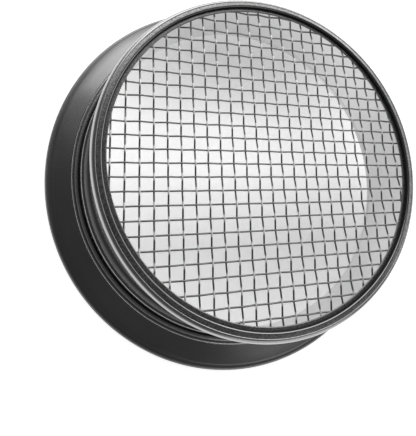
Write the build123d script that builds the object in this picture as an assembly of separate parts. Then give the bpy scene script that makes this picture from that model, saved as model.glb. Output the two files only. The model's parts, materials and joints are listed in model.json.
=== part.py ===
"""Round soil sieve: a pressed steel pan with a flared mouth and a drop-in square-mesh screen.

The sieve stands on its wide mouth, screen side up. Z = 0 is the plane of the mouth's rolled
edge and the Z axis is the axis of the pan. All sizes are in millimetres.
"""

import os
from math import cos, hypot, radians, sin, sqrt, tan

from build123d import *

# Pan
TOTAL_HEIGHT = 68.0  # mouth plane to the top of the bead around the screen
SHEET = 1.0  # thickness of the pressed sheet
LIP_RADIUS = 98.1  # clear radius of the ledge that carries the screen
RECESS_RADIUS = 100.5  # wall between the ledge and the top of the bead
RECESS_DEPTH = 2.4  # top of the bead down to the ledge
NECK_RADIUS = 106.9  # outside of the straight wall
FLARE_START = 20.0  # height at which the wall starts to flare
SEAT_SEAM_RADIUS = 103.9  # seam between the seat ring and the neck band, on top of the bead
COLLAR_SEAM_HEIGHT = 22.0  # seam between the neck band and the flare collar
FLARE_END_RADIUS = 113.3  # where the flare turns into the skirt's slope
SKIRT_SLOPE = 11.5  # fall of the skirt, degrees below horizontal
MOUTH_RADIUS = 135.1  # outside of the rolled edge

# Bend radii of the sheet's centre line
TIGHT_BEND = 0.6  # at the ledge, along the rib and in the screen's channel
CREST_BEND = 0.8  # inner edge of the bead
BEAD_BEND = 3.2  # outer edge of the bead
FLARE_BEND = 6.0  # straight wall to flare
SKIRT_BEND = 1.5  # flare to skirt
RIDGE_BEND = 0.55  # fine ridges of the lap

# Swaged rib on the flare, and the lap joint between collar and skirt
RIB_START = 7.6  # distance down the flare at which the rib starts
RIB_WIDTH = 4.2
RIB_HEIGHT = 1.3
LAP_START = 0.7  # distance down the skirt's slope
LAP_LENGTH = 2.35  # from the skirt's inner edge to the valley between its two fine ridges
LAP_GAP = 0.05
RIDGE_PITCH = 2.4  # the two fine ridges that stiffen the skirt's lap
RIDGE_HEIGHT = 0.7

# Wired edge of the mouth
HEM_WIRE_RADIUS = 1.0
HEM_GAP = 0.05
HEM_FLAT = 0.1  # depth by which the roll is pressed flat underneath
HEM_TURN = 275.0  # how far the sheet curls around the wire, degrees

# Screen
WIRE_DIAMETER = 1.1
PITCH = 8.0  # wire spacing in both directions
WIRES_EACH_WAY = 25
WARP_OFFSET = -0.33  # the mesh is cut a little off centre
WEFT_OFFSET = 1.7
CROSSING_GAP = 0.05  # between two wires where they cross
MITRE_GAP = 0.01  # the mitres of a crimped wire reach a little past its radius
CHANNEL_SHEET = 0.8  # thickness of the folded strip around the mesh
CHANNEL_OUTER_RADIUS = 105.0
CHANNEL_INNER_RADIUS = 101.5
CHANNEL_GAP = 0.05  # mesh to channel, and channel to ledge
WIRE_END_GAP = 0.2  # wire ends to the inside of the channel's web
STUB = 0.5  # a wire with less than this left past its last crossing ends there


def sheet_ring(corners, bends, thickness):
    """A ring of sheet metal: a bent centre line in the XZ plane, thickened and revolved."""
    line = FilletPolyline(*corners, radius=bends)
    section = offset(Wire(line.edges()), thickness / 2, kind=Kind.INTERSECTION, side=Side.BOTH)
    return revolve_section(make_face(section.edges()))


def revolve_section(section):
    """Turn a section drawn as (radius, height) about the Z axis."""
    return revolve(Plane.XZ * section, Axis.Z, 360)


def slope_point(origin, fall, distance, height):
    """A point beside a line that falls from origin by fall degrees."""
    run, drop = cos(radians(fall)), sin(radians(fall))
    return (origin[0] + distance * run + height * drop, origin[1] - distance * drop + height * run)


HALF = SHEET / 2
ROLL_RADIUS = HEM_WIRE_RADIUS + HEM_GAP + HALF  # centre line of the curl
ROLL_CENTRE = (MOUTH_RADIUS - ROLL_RADIUS - HALF, ROLL_RADIUS + HALF - HEM_FLAT)
ROLL_START = slope_point(ROLL_CENTRE, SKIRT_SLOPE, 0, ROLL_RADIUS)
FLARE_END = (
    FLARE_END_RADIUS,
    ROLL_START[1] + (ROLL_START[0] - FLARE_END_RADIUS) * tan(radians(SKIRT_SLOPE)),
)


def pan_wall():
    """The pan's wall in one run: ledge, recess, bead, straight wall, ribbed flare and end flange."""
    ledge = TOTAL_HEIGHT - RECESS_DEPTH - HALF
    top = TOTAL_HEIGHT - HALF
    wall = NECK_RADIUS - HALF
    flare_top = (wall, FLARE_START)
    run, drop = FLARE_END[0] - wall, FLARE_START - FLARE_END[1]
    length = hypot(run, drop)

    def on_flare(distance, height):
        along, out = (run / length, -drop / length), (drop / length, run / length)
        return (
            flare_top[0] + distance * along[0] + height * out[0],
            flare_top[1] + distance * along[1] + height * out[1],
        )

    corners = [
        (LIP_RADIUS + HALF, ledge),
        (RECESS_RADIUS + HALF, ledge),
        (RECESS_RADIUS + HALF, top),
        (wall, top),
        flare_top,
        on_flare(RIB_START, 0),
        on_flare(RIB_START + RIB_WIDTH / 3, RIB_HEIGHT),
        on_flare(RIB_START + RIB_WIDTH * 2 / 3, RIB_HEIGHT),
        on_flare(RIB_START + RIB_WIDTH, 0),
        FLARE_END,
        slope_point(FLARE_END, SKIRT_SLOPE, LAP_START + LAP_LENGTH - HALF, 0),
    ]
    bends = [TIGHT_BEND, CREST_BEND, BEAD_BEND, FLARE_BEND, *[TIGHT_BEND] * 4, SKIRT_BEND]
    return sheet_ring(corners, bends, SHEET)


def pan_rings():
    """The pan's wall, parted at its two seams into the three rings that it is made of."""
    wall = pan_wall()
    inside_seat_seam = Pos(0, 0, TOTAL_HEIGHT) * Cylinder(SEAT_SEAM_RADIUS, TOTAL_HEIGHT / 2)
    below_collar_seam = Cylinder(MOUTH_RADIUS, 2 * COLLAR_SEAM_HEIGHT)
    return {
        "seat_ring": wall & inside_seat_seam,
        "neck_band": wall - inside_seat_seam - below_collar_seam,
        "flare_collar": wall & below_collar_seam,
    }


def flared_skirt():
    """The sloping skirt, lapped over the collar's flange, with its edge curled around a wire."""
    lap = SHEET + LAP_GAP
    valley = LAP_START + LAP_LENGTH
    half_pitch = RIDGE_PITCH / 2
    stations = [
        (LAP_START + HALF, lap),
        (valley - half_pitch, lap + RIDGE_HEIGHT),
        (valley, lap),
        (valley + half_pitch, lap + RIDGE_HEIGHT),
        (valley + half_pitch + LAP_LENGTH / 2, 0),
    ]
    corners = [slope_point(FLARE_END, SKIRT_SLOPE, *station) for station in stations]
    slope = FilletPolyline(*corners, ROLL_START, radius=RIDGE_BEND)
    curl = CenterArc(ROLL_CENTRE, ROLL_RADIUS, 90 - SKIRT_SLOPE, -HEM_TURN)
    line = Wire(slope.edges() + curl.edges())
    section = offset(line, HALF, kind=Kind.INTERSECTION, side=Side.BOTH)
    skirt = revolve_section(make_face(section.edges()))
    below = Pos(0, 0, -1) * Cylinder(MOUTH_RADIUS + 1, 2)
    return skirt - below


def hem_wire():
    """The wire inside the mouth's rolled edge."""
    return revolve_section(Pos(*ROLL_CENTRE) * Circle(HEM_WIRE_RADIUS))


MESH_HALF = WIRE_DIAMETER + CROSSING_GAP / 2
SEAT = TOTAL_HEIGHT - RECESS_DEPTH - SHEET  # underside of the ledge
CHANNEL_TOP = SEAT - CHANNEL_GAP
MESH_HEIGHT = CHANNEL_TOP - CHANNEL_SHEET - CHANNEL_GAP - MESH_HALF


def screen_channel():
    """The folded strip that binds the edge of the mesh, open towards the axis."""
    half = MESH_HALF + CHANNEL_GAP + CHANNEL_SHEET / 2
    web = CHANNEL_OUTER_RADIUS - CHANNEL_SHEET / 2
    mouth = CHANNEL_INNER_RADIUS + CHANNEL_SHEET / 2
    corners = [
        (mouth, MESH_HEIGHT + half),
        (web, MESH_HEIGHT + half),
        (web, MESH_HEIGHT - half),
        (mouth, MESH_HEIGHT - half),
    ]
    return sheet_ring(corners, [TIGHT_BEND, TIGHT_BEND], CHANNEL_SHEET)


def crimped_wire(offset_from_axis, cross_offset, first_over):
    """One wire along X, bent over and under the wires that cross it every PITCH."""
    radius = WIRE_DIAMETER / 2
    rise = radius + CROSSING_GAP / 2 + MITRE_GAP
    end_radius = CHANNEL_OUTER_RADIUS - CHANNEL_SHEET - WIRE_END_GAP
    half_length = sqrt(end_radius**2 - (abs(offset_from_axis) + radius) ** 2)

    def height(x):
        """The zig-zag's height, with a peak or trough at each crossing."""
        place = (x - cross_offset) / PITCH
        before = int(place // 1)
        sign = 1 if (before + first_over) % 2 == 0 else -1
        return rise * sign * (1 - 2 * (place - before))

    reach = WIRES_EACH_WAY // 2
    crossings = [number * PITCH + cross_offset for number in range(-reach, reach + 1)]
    bends = [x for x in crossings if abs(x) < half_length]
    ends = [x for x in (-half_length, half_length) if min(abs(x - bend) for bend in bends) > STUB]
    line = Polyline(*[(x, 0, height(x)) for x in sorted(bends + ends)])
    profile = Plane(origin=line @ 0, z_dir=line % 0) * Circle(radius)
    return sweep(profile, path=line, transition=Transition.RIGHT)


def build_screen():
    """All wires of the mesh, as named nodes."""
    wires = {}
    for number in range(WIRES_EACH_WAY):
        step = number - WIRES_EACH_WAY // 2
        weft_place = step * PITCH + WEFT_OFFSET
        warp_place = step * PITCH + WARP_OFFSET
        weft = crimped_wire(weft_place, WARP_OFFSET, step)
        wires[f"weft_wire_{number + 1:02d}"] = Pos(0, weft_place, MESH_HEIGHT) * weft
        warp = Rot(0, 0, 90) * crimped_wire(warp_place, WEFT_OFFSET, step + 1)
        wires[f"warp_wire_{number + 1:02d}"] = Pos(warp_place, 0, MESH_HEIGHT) * warp
    return wires


nodes = {
    **pan_rings(),
    "flared_skirt": flared_skirt(),
    "hem_wire": hem_wire(),
    "screen_channel": screen_channel(),
    **build_screen(),
}

os.makedirs("parts", exist_ok=True)
for name, shape in nodes.items():
    export_step(shape, f"parts/{name}.step")
print(len(nodes), "nodes, mesh mid-plane at", round(MESH_HEIGHT, 3))
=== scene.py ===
"""Looks for the soil sieve: lathed sheet-metal rings, a woven screen, a pale floor and soft light.

Lengths are in metres, in the frame of the CAD model: the sieve stands on its mouth, screen up.
"""

import json
import math

import bpy
from mathutils import Matrix, Vector, noise


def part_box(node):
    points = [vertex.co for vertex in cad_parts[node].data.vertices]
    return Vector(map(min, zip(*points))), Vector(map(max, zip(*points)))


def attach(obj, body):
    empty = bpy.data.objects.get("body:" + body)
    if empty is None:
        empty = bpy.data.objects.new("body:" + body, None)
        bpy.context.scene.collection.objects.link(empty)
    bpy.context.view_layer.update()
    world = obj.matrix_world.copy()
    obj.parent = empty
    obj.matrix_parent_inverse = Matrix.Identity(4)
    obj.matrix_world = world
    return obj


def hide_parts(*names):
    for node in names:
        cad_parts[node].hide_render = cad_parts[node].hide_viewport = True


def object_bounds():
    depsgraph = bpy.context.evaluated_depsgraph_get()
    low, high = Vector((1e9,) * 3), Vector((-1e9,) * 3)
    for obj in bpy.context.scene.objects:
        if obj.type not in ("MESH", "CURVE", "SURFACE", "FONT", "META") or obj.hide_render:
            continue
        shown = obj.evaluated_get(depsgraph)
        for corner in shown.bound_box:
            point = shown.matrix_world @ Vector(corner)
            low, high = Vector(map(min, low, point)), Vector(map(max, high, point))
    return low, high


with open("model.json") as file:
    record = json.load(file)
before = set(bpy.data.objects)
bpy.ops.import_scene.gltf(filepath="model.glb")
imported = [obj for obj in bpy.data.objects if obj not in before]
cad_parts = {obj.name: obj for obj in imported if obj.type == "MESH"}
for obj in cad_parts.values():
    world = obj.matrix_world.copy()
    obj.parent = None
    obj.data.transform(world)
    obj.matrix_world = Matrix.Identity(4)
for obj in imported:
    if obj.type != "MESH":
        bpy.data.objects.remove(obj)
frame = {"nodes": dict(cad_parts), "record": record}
cad_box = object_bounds()

MM = 0.001

# ---------------------------------------------------------------- sizes read from the frame
cad_nodes = frame["nodes"]
mount_dims = {mount["name"]: mount["dims"] for mount in frame["record"]["mounts"]}


def radial_limits(node):
    """The smallest and largest distance of a node's surface from the Z axis."""
    radii = [math.hypot(v.co.x, v.co.y) for v in cad_nodes[node].data.vertices]
    return min(radii), max(radii)


TOP = cad_box[1].z
NECK = mount_dims["neck_outside"]["r_mm"] * MM
LIP, SEAT_SEAM = radial_limits("seat_ring")
FLANGE_END = radial_limits("flare_collar")[1]
MOUTH = radial_limits("flared_skirt")[1]
COLLAR_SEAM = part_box("neck_band")[0].z
LEDGE_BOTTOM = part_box("seat_ring")[0].z
CHANNEL_LOW, CHANNEL_HIGH = (corner.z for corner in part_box("screen_channel"))
CHANNEL_INNER, CHANNEL_OUTER = radial_limits("screen_channel")

# ---------------------------------------------------------------- sizes chosen to match the pan
SHEET = 1.0 * MM
HALF = SHEET / 2
RECESS_WALL = SEAT_SEAM - 2.9 * MM  # centre line of the wall around the ledge
FLARE_START = COLLAR_SEAM - 2.0 * MM
SKIRT_FALL = math.radians(11.5)
SKIRT_ALONG = Vector((math.cos(SKIRT_FALL), -math.sin(SKIRT_FALL)))
SKIRT_OUT = Vector((math.sin(SKIRT_FALL), math.cos(SKIRT_FALL)))

# The rolled edge of the mouth, where the skirt's slope ends
ROLL_RADIUS = 1.55 * MM  # centre line of the curled sheet
ROLL_CENTRE = Vector((MOUTH - ROLL_RADIUS - HALF, ROLL_RADIUS + HALF - 0.1 * MM))
ROLL_START = ROLL_CENTRE + SKIRT_OUT * ROLL_RADIUS
ROLL_TURN = math.radians(275)
ROLL_STEPS = 40  # points around the roll
ROLL_TIGHTNESS = 0.2
ROLL_HIGHLIGHT_STEPS = 6  # the top of the roll carries a painted highlight over this many steps
ROLL_HIGHLIGHT_TIGHTNESS = 1.2
GROOVE_RISE = math.radians(10)  # the sheet rises to the roll out of a shallow groove
GROOVE_RUN = 1.2 * MM  # from the bottom of the groove to the roll
GROOVE_LEAD = 1.1 * MM  # from the skirt's slope to the bottom of the groove
GROOVE_BEND = 2.4 * MM
HEM_START = MOUTH - 8.0 * MM  # the finish turns darker and rougher from here towards the rolled edge
HEM_FADE = 6.0 * MM

# The flare, from the straight wall to the skirt's slope, with a swaged rib on it
FLARE_END = ROLL_START - SKIRT_ALONG * (ROLL_START.x - FLANGE_END + 2.99 * MM) / SKIRT_ALONG.x
RIB_START = 7.6 * MM
RIB_WIDTH = 4.2 * MM
RIB_HEIGHT = 1.3 * MM

# The skirt's lap over the collar's flange: distances down the slope, and heights above it
LAP_START = 1.2 * MM
LAP_HEIGHT = SHEET + 0.05 * MM
VALLEY = 3.05 * MM  # between the two fine ridges
RIDGE_REACH = 1.2 * MM  # from the valley to the top of a ridge, and from there to its foot
RIDGE_HEIGHT = LAP_HEIGHT + 0.7 * MM

# Seams, bends and meshing
SEAT_OVERLAP = 0.17 * MM  # the rounded edges on the bead run into each other by this much
COLLAR_OVERLAP = 0.42 * MM  # and those between the neck and the collar, so that seam hardly shows
TIGHT_BEND = 0.55 * MM
CUT_EDGE_TIGHTNESS = 0.3  # the cut edges of the sheet aren't rubbed bright
SEGMENTS = 320  # faces around each ring
CHANNEL_HALF = 0.4 * MM  # half the thickness of the folded strip around the mesh
WEAVE_GAP = 0.035 * MM  # from a wire to the middle plane of the mesh at a crossing


# ---------------------------------------------------------------- sheet-metal outlines
def arc(centre, radius, start, turn, steps):
    """Points of an arc, each with its outward direction from the centre."""
    angles = [start + turn * i / steps for i in range(steps + 1)]
    rays = [Vector((math.cos(a), math.sin(a))) for a in angles]
    return [(centre + radius * ray, ray) for ray in rays]


def bent_line(corners, bends, steps=7):
    """A line through corners with rounded bends, as (point, left-hand normal, tightness).

    Tightness is 0 on a straight and rises as a bend gets sharper.
    """
    line = []
    support = 0.25 * MM  # a point this close to each bend keeps the shading of the straight flat
    spacing = 2.5 * MM

    def add_straight(start, end):
        """Both ends, a supporting point close to each, and evenly spaced points between."""
        run = end - start
        if run.length < 1e-6:
            return
        along = run.normalized()
        left = Vector((-along.y, along.x))
        inset = min(support, run.length / 4)
        count = max(1, round((run.length - 2 * inset) / spacing))
        between = [inset + (run.length - 2 * inset) * i / count for i in range(count + 1)]
        for distance in [0, *between, run.length]:
            line.append((start + along * distance, left, 0.0))

    place = Vector(corners[0])
    for i, radius in enumerate(bends):
        corner = Vector(corners[i + 1])
        before = (corner - Vector(corners[i])).normalized()
        after = (Vector(corners[i + 2]) - corner).normalized()
        turn = before.angle_signed(after)  # clockwise is positive
        reach = radius * math.tan(abs(turn) / 2)
        add_straight(place, corner - before * reach)
        side = -1 if turn > 0 else 1
        centre = corner - before * reach + side * radius * Vector((-before.y, before.x))
        first = -side * Vector((-before.y, before.x))
        for point, ray in arc(centre, radius, math.atan2(first.y, first.x), -turn, steps)[1:-1]:
            line.append((point, -side * ray, MM / (radius + HALF)))
        place = corner + after * reach
    add_straight(place, Vector(corners[-1]))
    return line


def sheet_outline(line, half=HALF, cap_steps=5):
    """The closed outline of a sheet: its left face, a round end, its right face, a round end.

    Each point is (place, side, tightness). Side is 0 on the left face and 1 on the right face.
    """
    outline = [(point + left * half, 0.0, tight) for point, left, tight in line]
    outline += end_cap(line[-1], half, -1, cap_steps)
    outline += [(point - left * half, 1.0, tight) for point, left, tight in reversed(line)]
    outline += end_cap(line[0], half, 1, cap_steps)
    return outline


def flip(outline):
    """Swap the two faces of an outline whose line runs up the pan, so that side 1 is the inside."""
    return [(place, 1.0 - side, tight) for place, side, tight in outline]


def end_cap(end, half, side, steps):
    """The half circle that joins the two faces of a sheet at one end of its line."""
    point, left, _ = end
    start = math.atan2(left.y, left.x) + (0 if side < 0 else math.pi)
    points = arc(point, half, start, -math.pi, steps)[1:-1]
    return [(place, 0.5, CUT_EDGE_TIGHTNESS) for place, _ in points]


def slope_point(distance, height):
    """A point beside the skirt's slope: so far down it, and so far off its centre line."""
    return FLARE_END + SKIRT_ALONG * distance + SKIRT_OUT * height


def flare_point(distance, height):
    """A point beside the flare's straight run, measured from its top."""
    start = Vector((NECK - HALF, FLARE_START))
    along = (FLARE_END - start).normalized()
    return start + along * distance + Vector((-along.y, along.x)) * height


# ---------------------------------------------------------------- meshes
def make_object(name, vertices, faces, attributes, material, smooth=True):
    """A mesh object with float attributes on its points."""
    mesh = bpy.data.meshes.new(name)
    mesh.from_pydata(vertices, [], faces)
    mesh.validate()
    for key, values in attributes.items():
        layer = mesh.attributes.new(key, "FLOAT", "POINT")
        layer.data.foreach_set("value", values)
    mesh.polygons.foreach_set("use_smooth", [smooth] * len(mesh.polygons))
    mesh.materials.append(material)
    obj = bpy.data.objects.new(name, mesh)
    bpy.context.scene.collection.objects.link(obj)
    return obj


def ramp(value, start, width):
    """0 before the start, 1 once past the width, and straight between."""
    return max(0.0, min(1.0, (value - start) / width))


def painted_shade_and_dullness(radius, height):
    """How dark and rough the finish is at a place: painted shade, near black, in the recess and on the
    flare's top by the neck; a little darker and rougher towards the hem.
    """
    in_recess = RECESS_WALL - 0.6 * MM < radius < RECESS_WALL and height < TOP - 0.6 * MM
    if in_recess:
        return 1.0
    on_flare = height < FLARE_START and radius < FLARE_END.x
    if on_flare:
        return 1.0 - ramp(radius, NECK + 1.5 * MM, 1.5 * MM)
    return 0.45 * ramp(radius, HEM_START, HEM_FADE)


def lathe(name, outline, material, ripple=0.03 * MM):
    """Turn a closed outline of (radius, height) about the Z axis, with a faint hand-formed ripple."""
    waves_around, wave_length, steady_below = 2.2, 40 * MM, 6 * MM
    vertices, faces, inner, tight, shade_and_dull = [], [], [], [], []
    count = len(outline)
    for s in range(SEGMENTS):
        angle = 2 * math.pi * s / SEGMENTS
        cos_a, sin_a = math.cos(angle), math.sin(angle)
        for place, face_side, tightness in outline:
            spot = Vector((cos_a * waves_around, sin_a * waves_around, place.y / wave_length))
            wave = noise.noise(spot) * ripple
            radius = place.x + wave * min(1.0, place.y / steady_below)
            vertices.append((radius * cos_a, radius * sin_a, place.y))
            inner.append(face_side)
            tight.append(tightness)
            shade_and_dull.append(painted_shade_and_dullness(place.x, place.y))
    for s in range(SEGMENTS):
        here, there = s * count, (s + 1) % SEGMENTS * count
        for i in range(count):
            j = (i + 1) % count
            faces.append((here + i, here + j, there + j, there + i))
    return make_object(name, vertices, faces, {"inner": inner, "tight": tight, "shade_and_dull": shade_and_dull}, material)


def crimped_wire(name, start, end, across, crossings, radius, rise, first_up, material):
    """A round wire from start to end, waving over and under the wires at the crossings.

    First_up is 1 where it goes over the first of them and -1 where it goes under.
    """
    sides, steps_per_pitch = 12, 14
    along = (end - start).normalized()
    pitch = crossings[1] - crossings[0]
    length = (end - start).length
    steps = round(length / pitch * steps_per_pitch)
    vertices, heights = [], []
    origin = start.dot(along)

    def wave(distance):
        """The height and slope of a zig-zag with rounded peaks: a triangle wave's first two terms."""
        turn = math.pi * (distance - crossings[0]) / pitch
        size = rise * first_up / (1 + 1 / 9)
        return (
            size * (math.cos(turn) + math.cos(3 * turn) / 9),
            -size * math.pi / pitch * (math.sin(turn) + math.sin(3 * turn) / 3),
        )

    for i in range(steps + 1):
        distance = length * i / steps
        height, slope = wave(origin + distance)
        centre = start + along * distance + Vector((0, 0, height))
        up = Vector((0, 0, 1)) - along * slope
        up.normalize()
        for k in range(sides):
            angle = 2 * math.pi * k / sides
            vertices.append(centre + radius * (math.cos(angle) * up + math.sin(angle) * across))
            heights.append(height / rise)
    faces = [tuple(range(sides)), tuple(reversed(range(steps * sides, (steps + 1) * sides)))]
    for i in range(steps):
        for k in range(sides):
            n = (k + 1) % sides
            faces.append((i * sides + k, (i + 1) * sides + k, (i + 1) * sides + n, i * sides + n))
    return make_object(name, vertices, faces, {"height": heights}, material)


# ---------------------------------------------------------------- material helpers
class Graph:
    """A material's node tree, with short calls to add and join nodes."""

    def __init__(self, name):
        self.material = bpy.data.materials.new(name)
        self.material.use_nodes = True
        self.tree = self.material.node_tree
        self.surface = self.tree.nodes["Principled BSDF"]

    def add(self, kind, inputs=None, **settings):
        """Add a node. An input is a value, or an output socket of another node."""
        node = self.tree.nodes.new(kind)
        for key, value in settings.items():
            setattr(node, key, value)
        for key, value in (inputs or {}).items():
            self.put(node.inputs[key], value)
        return node

    def put(self, socket, value):
        """Join an output to a socket, or set the socket's own value."""
        if isinstance(value, bpy.types.NodeSocket):
            self.tree.links.new(value, socket)
        else:
            socket.default_value = value

    def place(self):
        """Where the shaded point is in the object's own space, in metres."""
        return self.add("ShaderNodeTexCoord").outputs["Object"]

    def noise(self, scale, detail=3.0, stretch=(1, 1, 1)):
        """Noise in the object's own space, finer where stretch is larger."""
        mapped = self.add("ShaderNodeMapping", {"Vector": self.place(), "Scale": stretch})
        inputs = {"Vector": mapped.outputs["Vector"], "Scale": scale, "Detail": detail}
        return self.add("ShaderNodeTexNoise", inputs).outputs["Fac"]

    def remap(self, value, low, high, to_low, to_high):
        """Stretch a value from one range to another, and hold it there."""
        inputs = {"Value": value, "From Min": low, "From Max": high, "To Min": to_low, "To Max": to_high}
        return self.add("ShaderNodeMapRange", inputs).outputs["Result"]

    def math(self, operation, first, second):
        """One arithmetic step."""
        return self.add("ShaderNodeMath", {0: first, 1: second}, operation=operation).outputs[0]

    def mix(self, factor, first, second):
        """Mix two colours."""
        node = self.add("ShaderNodeMix", data_type="RGBA")
        for index, value in ((0, factor), (6, first), (7, second)):
            self.put(node.inputs[index], value)
        return node.outputs[2]

    def attribute(self, name):
        """A float attribute of the mesh."""
        return self.add("ShaderNodeAttribute", attribute_name=name).outputs["Fac"]

    def bump(self, height, distance, strength=1.0):
        """Turn a height into a normal for the surface."""
        inputs = {"Height": height, "Distance": distance, "Strength": strength}
        self.put(self.surface.inputs["Normal"], self.add("ShaderNodeBump", inputs).outputs["Normal"])


def grey(level):
    """A neutral colour."""
    return (level, level, level, 1.0)


# ---------------------------------------------------------------- materials
def coated_sheet(name, level, grain):
    """Dark plated finish outside; inside, a far lighter copy of the steel, a painted reflection of the
    bright surroundings.

    Sharp bends are rubbed bright where grain is 0; the roll's top is given a painted highlight the same
    way. Flat places are pitted where grain is 1.
    """
    g = Graph(name)
    inner = g.remap(g.attribute("inner"), 0.55, 0.75, 0.0, 1.0)
    tight = g.attribute("tight")
    shade_and_dull = g.attribute("shade_and_dull")
    cloud = g.noise(30.0, 4.0)
    speckle = g.noise(1100.0, 2.0)

    # The plating: cloudy, pitted on its flats, rubbed bright on its bends with a painted highlight on the
    # roll's top, painted shade near black in the recess and on the flare's top, and a little darker
    # towards the hem
    coat = g.mix(cloud, grey(level * 0.85), grey(level * 1.15))
    pitting = g.remap(tight, 0.1, 0.5, grain, 0.0)
    pits = g.remap(speckle, 0.35, 0.65, 0.0, 1.0)
    coat = g.mix(pitting, coat, g.mix(pits, grey(level * 0.55), grey(level * 1.3)))
    rubbed = g.remap(tight, 0.35, 0.9, 0.0, 1.0 - grain)
    wear_and_highlight = g.math("MULTIPLY", rubbed, g.remap(speckle, 0.40, 0.70, 0.6, 1.0))
    coat = g.mix(g.math("MULTIPLY", wear_and_highlight, 0.8), coat, grey(0.6))
    # Painted shade: the coat goes near black in the recess and on the flare's top, and a little darker
    # towards the hem
    coat = g.mix(shade_and_dull, coat, grey(0.05))

    # The inside: a lighter copy of the steel as painted reflection, with painted shade towards +X on one
    # side of the pan
    steel = g.mix(g.noise(60.0, 5.0, (1, 1, 3)), grey(0.78), grey(0.86))
    across = g.add("ShaderNodeSeparateXYZ", {0: g.place()}).outputs["X"]
    steel = g.mix(g.remap(across, 88 * MM, 108 * MM, 0.0, 1.0), steel, grey(0.62))
    g.put(g.surface.inputs["Base Color"], g.mix(inner, coat, steel))
    g.surface.inputs["Metallic"].default_value = 1.0

    smear = g.remap(g.noise(22.0, 4.0), 0.3, 0.7, 0.0, 1.0)
    rough = g.math("ADD", g.math("MULTIPLY", smear, 0.07), g.remap(pitting, 0.0, 1.0, 0.2, 0.32))
    rough = g.math("ADD", rough, g.math("MULTIPLY", shade_and_dull, 0.4))
    g.put(g.surface.inputs["Roughness"], g.math("ADD", g.math("MULTIPLY", inner, 0.14), rough))

    grit = g.math("MULTIPLY", speckle, g.remap(pitting, 0.0, 1.0, 0.05, 1.2))
    g.bump(g.math("ADD", grit, g.math("MULTIPLY", g.noise(260.0, 2.0), 0.5)), 0.02 * MM)
    return g.material


def screen_steel(name, level, crown_highlight_level, matt):
    """Drawn steel wire: fine draw lines, dark between the crossings, and on the crowns a painted
    highlight, pale and matt.
    """
    g = Graph(name)
    streaks = g.noise(1500.0, 3.0)
    tint = g.mix(streaks, grey(level * 0.8), grey(level * 1.2))
    crown_highlight = g.remap(g.attribute("height"), 0.4, 0.8, 0.0, 1.0)
    # Painted highlight: the crowns over the crossings turn pale and matt
    g.put(g.surface.inputs["Base Color"], g.mix(crown_highlight, tint, grey(crown_highlight_level)))
    g.put(g.surface.inputs["Metallic"], g.remap(crown_highlight, 0.0, 1.0, 1.0, 1.0 - matt))
    g.put(g.surface.inputs["Roughness"], g.remap(g.noise(400.0), 0.3, 0.7, 0.28, 0.42))
    g.bump(streaks, 0.01 * MM)
    return g.material


def rim_steel(name, level):
    """The satin steel of the channel around the mesh and of the wire in the mouth's edge."""
    g = Graph(name)
    brushed = g.noise(500.0, 4.0, (1, 1, 6))
    g.put(g.surface.inputs["Base Color"], g.mix(brushed, grey(level * 0.8), grey(level * 1.2)))
    g.surface.inputs["Metallic"].default_value = 1.0
    g.put(g.surface.inputs["Roughness"], g.remap(brushed, 0.2, 0.8, 0.3, 0.45))
    g.bump(brushed, 0.01 * MM)
    return g.material


def painted_light_floor(name, glow, inside_shade, band_light):
    """A pale matt floor that glows, painted light standing in for the light on it.

    Inside the sieve's mouth it glows less, a painted shade, with a brighter painted band of light across
    the middle.
    """
    band_centre, band_half, band_fade_end = 22 * MM, 16 * MM, 78 * MM
    mouth_edge, outside_start = 131 * MM, 134 * MM
    g = Graph(name)
    g.put(g.surface.inputs["Base Color"], g.mix(g.noise(6.0, 4.0), grey(0.80), grey(0.84)))
    g.put(g.surface.inputs["Roughness"], g.remap(g.noise(14.0), 0.3, 0.7, 0.75, 0.9))
    g.surface.inputs["Emission Color"].default_value = (1, 1, 1, 1)
    from_axis = g.add("ShaderNodeVectorMath", {0: g.place()}, operation="LENGTH").outputs["Value"]
    across = g.add("ShaderNodeSeparateXYZ", {0: g.place()}).outputs["Y"]
    from_band = g.math("ABSOLUTE", g.math("SUBTRACT", across, band_centre), 0.0)
    band = g.remap(from_band, band_half, band_fade_end, band_light, inside_shade)
    outside = g.remap(from_axis, mouth_edge, outside_start, 0.0, 1.0)
    shade = g.math("ADD", band, g.math("MULTIPLY", outside, g.math("SUBTRACT", glow, band)))
    # Painted light and shade: dim glow inside the mouth, a brighter band across the middle, full glow
    # outside
    g.put(g.surface.inputs["Emission Strength"], shade)
    return g.material


# The bead's coating is a lighter copy of the pan's, a painted highlight that brightens the bead's
# reflections
bead_highlight_coating = coated_sheet("bead_highlight_coating", 0.43, grain=0.0)
coating = coated_sheet("pan_coating", 0.25, grain=0.0)
seat_coating = coated_sheet("seat_coating", 0.25, grain=1.0)
# The warp wires' pale crowns are painted highlights
warp_steel = screen_steel("warp_wire_steel", 0.17, 0.9, matt=0.6)
# The weft wires are a lighter copy of the warp wires' steel, painted to stand for the brighter light they
# reflect
weft_steel_lighter_copy = screen_steel("weft_wire_steel", 0.26, 0.26, matt=0.0)
channel_steel = rim_steel("channel_steel", 0.5)
edge_steel = rim_steel("edge_wire_steel", 0.45)
painted_light_floor_surface = painted_light_floor("pale_floor_painted_light", glow=0.84, inside_shade=0.34, band_light=0.68)


# ---------------------------------------------------------------- the pan
def finish_piece(piece, body, slot, *replaced):
    """Attach a piece to its body and hide the CAD nodes it stands for."""
    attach(piece, body)
    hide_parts(*replaced)


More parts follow.
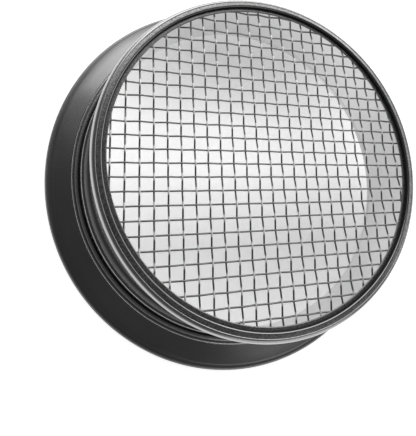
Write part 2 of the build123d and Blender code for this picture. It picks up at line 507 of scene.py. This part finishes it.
def seat_ring():
    """The ledge over the screen's edge, the recess wall and the crest up to the bead's seam."""
    ledge = LEDGE_BOTTOM + HALF
    corners = [
        (SEAT_SEAM - HALF + SEAT_OVERLAP, TOP - HALF - 0.32 * MM),
        (RECESS_WALL + 1.3 * MM, TOP - HALF - 0.08 * MM),
        (RECESS_WALL, TOP - HALF),
        (RECESS_WALL, ledge),
        (LIP + HALF, ledge),
    ]
    crest_bend = 0.9 * MM
    line = bent_line(corners, [crest_bend, TIGHT_BEND, TIGHT_BEND])
    outline = []
    for place, side, tight in flip(sheet_outline(line)):
        coated = side < 0.9  # the coating covers the cut edges too
        outline.append((place, 0.0 if coated else side, tight))
    return lathe("seat", outline, seat_coating)


def neck_band():
    """The bead around the recess and the straight wall below it."""
    corners = [
        (NECK - HALF, COLLAR_SEAM + HALF - COLLAR_OVERLAP),
        (NECK - HALF, TOP - HALF - 0.93 * MM),
        (SEAT_SEAM + HALF - SEAT_OVERLAP, TOP - HALF - 0.2 * MM),
    ]
    bead_bend = 2.9 * MM
    line = bent_line(corners, [bead_bend], steps=18)
    return lathe("neck", flip(sheet_outline(line)), bead_highlight_coating)


def flare_collar():
    """The flare with its swaged rib, and the flange under the lap."""
    corners = [
        (NECK - HALF, COLLAR_SEAM - HALF + COLLAR_OVERLAP),
        flare_point(0, 0),
        flare_point(RIB_START, 0),
        flare_point(RIB_START + RIB_WIDTH / 3, RIB_HEIGHT),
        flare_point(RIB_START + RIB_WIDTH * 2 / 3, RIB_HEIGHT),
        flare_point(RIB_START + RIB_WIDTH, 0),
        FLARE_END,
        FLARE_END + SKIRT_ALONG * (FLANGE_END - HALF - FLARE_END.x) / SKIRT_ALONG.x,
    ]
    flare_bend, rib_foot, rib_top = 1.5 * MM, 0.7 * MM, 0.65 * MM
    line = bent_line(corners, [flare_bend, rib_foot, rib_top, rib_top, rib_foot, flare_bend])
    return lathe("collar", sheet_outline(line), coating)


def flared_skirt():
    """The skirt, lapped over the collar's flange, with its edge curled around a wire."""
    roll_angle = math.pi / 2 - SKIRT_FALL + GROOVE_RISE
    outward = Vector((math.cos(roll_angle), math.sin(roll_angle)))
    rise_end = ROLL_CENTRE + ROLL_RADIUS * outward
    groove = rise_end - Vector((outward.y, -outward.x)) * GROOVE_RUN
    groove_distance = (groove - FLARE_END).dot(SKIRT_ALONG)
    corners = [
        slope_point(LAP_START, LAP_HEIGHT),
        slope_point(VALLEY - RIDGE_REACH, RIDGE_HEIGHT),
        slope_point(VALLEY, LAP_HEIGHT),
        slope_point(VALLEY + RIDGE_REACH, RIDGE_HEIGHT),
        slope_point(VALLEY + 2 * RIDGE_REACH, 0),
        slope_point(groove_distance - GROOVE_LEAD, 0),
        groove,
        rise_end,
    ]
    line = bent_line(corners, [TIGHT_BEND] * 4 + [GROOVE_BEND] * 2)
    roll = arc(ROLL_CENTRE, ROLL_RADIUS, roll_angle, -ROLL_TURN - GROOVE_RISE, ROLL_STEPS)
    for step, (point, ray) in enumerate(roll[1:]):
        # Painted highlight: the first steps of the roll get a high tightness, so their coat turns bright
        line.append((point, ray, ROLL_HIGHLIGHT_TIGHTNESS if step < ROLL_HIGHLIGHT_STEPS else ROLL_TIGHTNESS))
    outline = []
    for point, side, tight in sheet_outline(line):
        # Painted light: the curl's rolled-in side takes the light inside colour, so the shade in the
        # curl's gap doesn't show as a dark line
        rolled_in_painted_light = point.x < ROLL_CENTRE.x and point.y < ROLL_CENTRE.y + ROLL_RADIUS
        pressed_flat = Vector((point.x, max(point.y, 0.0)))
        outline.append((pressed_flat, 1.0 if rolled_in_painted_light else side, tight))
    return lathe("skirt", outline, coating)


def screen_channel():
    """The folded strip around the mesh's edge."""
    mouth, web = CHANNEL_INNER + CHANNEL_HALF, CHANNEL_OUTER - CHANNEL_HALF
    low, high = CHANNEL_LOW + CHANNEL_HALF, CHANNEL_HIGH - CHANNEL_HALF
    corners = [(mouth, low), (web, low), (web, high), (mouth, high)]
    line = bent_line(corners, [TIGHT_BEND, TIGHT_BEND])
    return lathe("channel", sheet_outline(line, CHANNEL_HALF), channel_steel, ripple=0)


finish_piece(seat_ring(), "pan", "coated_sheet", "seat_ring")
finish_piece(neck_band(), "pan", "coated_sheet", "neck_band")
finish_piece(flare_collar(), "pan", "coated_sheet", "flare_collar")
finish_piece(flared_skirt(), "pan", "coated_sheet", "flared_skirt")
finish_piece(screen_channel(), "screen", "screen_rim", "screen_channel")
hem_materials = cad_nodes["hem_wire"].data.materials
hem_materials.clear()
hem_materials.append(edge_steel)


# ---------------------------------------------------------------- the mesh
def wire_nodes(kind):
    """The CAD nodes of one set of wires, in order."""
    return sorted(name for name in cad_nodes if name.startswith(kind))


def middle(node):
    """The centre of a CAD node's box."""
    low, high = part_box(node)
    return (low + high) / 2


def weave():
    """Every wire of the screen, crimped over and under its neighbours."""
    warps, wefts = wire_nodes("warp_wire"), wire_nodes("weft_wire")
    height = middle(warps[len(warps) // 2]).z
    radius = (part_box(warps[0])[1].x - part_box(warps[0])[0].x) / 2
    rise = radius + WEAVE_GAP
    warp_places = [middle(node).x for node in warps]
    weft_places = [middle(node).y for node in wefts]
    axis_x, axis_y = Vector((1, 0, 0)), Vector((0, 1, 0))
    for index, node in enumerate(warps):
        low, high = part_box(node)
        start = Vector((warp_places[index], low.y, height))
        end = Vector((warp_places[index], high.y, height))
        up = 1 if index % 2 else -1
        wire = crimped_wire("mesh_" + node, start, end, axis_x, weft_places, radius, rise, up, warp_steel)
        finish_piece(wire, "screen", "screen_wire", node)
    for index, node in enumerate(wefts):
        low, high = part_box(node)
        start = Vector((low.x, weft_places[index], height))
        end = Vector((high.x, weft_places[index], height))
        up = -1 if index % 2 else 1
        wire = crimped_wire("mesh_" + node, start, end, axis_y, warp_places, radius, rise, up, weft_steel_lighter_copy)
        finish_piece(wire, "screen", "screen_wire", node)


weave()


# ---------------------------------------------------------------- floor, light and camera
def floor():
    """A wide pale floor under the sieve."""
    reach = 4.0
    corners = [(-reach, -reach, 0), (reach, -reach, 0), (reach, reach, 0), (-reach, reach, 0)]
    make_object("floor", corners, [(0, 1, 2, 3)], {}, painted_light_floor_surface, smooth=False)


def aim(obj, target, up=Vector((0, 0, 1))):
    """Turn a light or camera so that it looks at a target."""
    back = (obj.location - target).normalized()
    right = up.cross(back).normalized()
    obj.rotation_euler = Matrix((right, back.cross(right), back)).transposed().to_euler()


def softbox(name, place, size, power):
    """A rectangular area light that looks at the middle of the sieve."""
    light = bpy.data.lights.new(name, "AREA")
    light.shape = "RECTANGLE"
    light.size, light.size_y = size
    light.energy = power
    obj = bpy.data.objects.new(name, light)
    bpy.context.scene.collection.objects.link(obj)
    obj.location = place
    aim(obj, Vector((0, 0, TOP / 2)))


def surroundings(overhead, horizon):
    """Dim light from overhead and pale light from low down, all around."""
    world = bpy.data.worlds.new("surroundings")
    world.use_nodes = True
    nodes, links = world.node_tree.nodes, world.node_tree.links
    height = nodes.new("ShaderNodeSeparateXYZ")
    links.new(nodes.new("ShaderNodeTexCoord").outputs["Generated"], height.inputs[0])
    fade = nodes.new("ShaderNodeMapRange")
    links.new(height.outputs["Z"], fade.inputs["Value"])
    for key, value in (("From Min", 0.0), ("From Max", 0.4), ("To Min", horizon), ("To Max", overhead)):
        fade.inputs[key].default_value = value
    links.new(fade.outputs["Result"], nodes["Background"].inputs["Strength"])
    nodes["Background"].inputs["Color"].default_value = (1, 1, 1, 1)
    bpy.context.scene.world = world


def camera():
    """The camera above the lower left of the screen, close to it."""
    data = bpy.data.cameras.new("camera")
    data.lens = 32.4
    data.sensor_width = 36.0
    data.shift_x, data.shift_y = -0.0426, -0.1888
    obj = bpy.data.objects.new("camera", data)
    bpy.context.scene.collection.objects.link(obj)
    obj.location = Vector((-103.6, -50.25, 281.7)) * MM
    forward = Vector((0.3146, 0.2559, -0.9141))
    aim(obj, obj.location + forward, up=Vector((-0.0327, 0.9653, 0.2590)))
    bpy.context.scene.camera = obj


floor()
surroundings(0.1, 0.6)
softbox("back_box", Vector((0.25, 1.35, 0.9)), (2.3, 1.5), 21.0)
softbox("high_box", Vector((-0.55, 1.0, 1.45)), (1.0, 0.8), 0.6)
softbox("front_box", Vector((0.85, -0.85, 1.2)), (0.9, 1.0), 0.75)
softbox("low_box", Vector((0.6, -1.3, 0.5)), (1.2, 0.5), 1.6)
softbox("side_box", Vector((1.45, 0.5, 0.8)), (1.9, 1.2), 8.0)
camera()
bpy.context.scene.view_settings.view_transform = "Standard"
